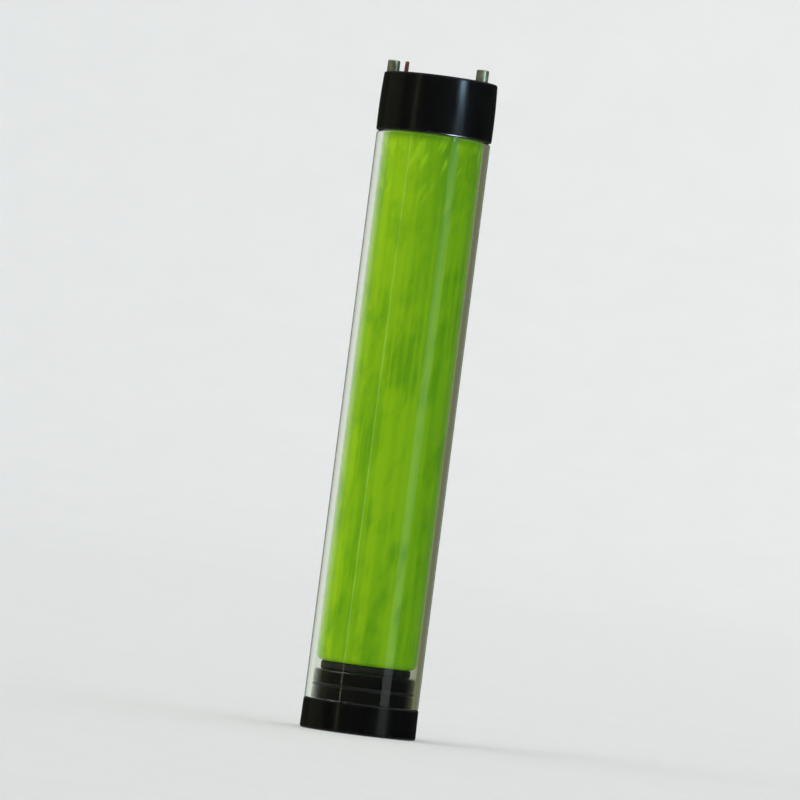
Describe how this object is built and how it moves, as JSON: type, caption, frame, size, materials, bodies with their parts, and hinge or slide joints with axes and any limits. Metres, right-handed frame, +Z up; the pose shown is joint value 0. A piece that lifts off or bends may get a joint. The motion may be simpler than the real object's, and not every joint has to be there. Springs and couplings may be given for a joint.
{
  "type": "fuel sampler cup",
  "caption": "Tall clear-sleeved fuel sampler with a lime sample cup, a screw-on black cap with steel prongs, a recessed drain probe, a strainer and a vent plug.",
  "frame": {"origin": "centre of the flat end that the sampler stands on", "axes": "+Z up along the tube to the cap; -Y is the side seen from the front; the prongs and the vent plug stand at their own angles round +Z"},
  "size_m": [0.0346, 0.0346, 0.2],
  "materials": {
    "black_plastic": "polished black moulded plastic, lightly scuffed",
    "insert_plastic": "satin black moulded plastic",
    "clear_plastic": "clear extruded acrylic tube, faint drawing lines",
    "lime_plastic": "translucent fluorescent lime moulded plastic, glossy",
    "steel": "turned stainless steel, slightly dull",
    "steel_gauze": "fine woven stainless gauze",
    "brass": "turned and knurled brass",
    "rubber": "matt black fuel-resistant rubber",
    "red_plastic": "dull dark red moulded plastic"
  },
  "bodies": {
    "barrel": {"end_plug": "black_plastic", "end_screw": "steel", "screw_washer": "rubber", "thread_insert": "brass", "lower_o_ring": "rubber", "cup_cushion": "rubber", "outer_tube": "clear_plastic", "sample_cup": "lime_plastic", "upper_o_ring": "rubber"},
    "lid_insert": {"rim_gasket": "rubber", "probe_plate": "insert_plastic", "probe_pin": "steel", "probe_washer": "steel", "probe_nut": "steel", "strainer_mesh": "steel_gauze", "strainer_ring": "steel"},
    "cap": {"cap_shell": "black_plastic", "prong_left": "steel", "prong_right": "steel"},
    "vent": {"vent_plug": "red_plastic", "vent_seal": "rubber"}
  },
  "joints": [
    {"name": "lid_lift", "type": "slide", "parent": "barrel", "child": "lid_insert", "axis": [0, 0, 1], "range_m": [0, 0.0038]},
    {"name": "cap_twist", "type": "hinge", "parent": "lid_insert", "child": "cap", "pos_m": [0, 0, 0.188], "axis": [0, 0, 1], "range_deg": [0, 450]},
    {"name": "vent_pull", "type": "slide", "parent": "cap", "child": "vent", "axis": [0, 0, 1], "range_m": [0, 0.003]}
  ],
  "couplings": [
    {"joint": "lid_lift", "follows": "cap_twist", "m_per_rad": 0.00047746}
  ]
}
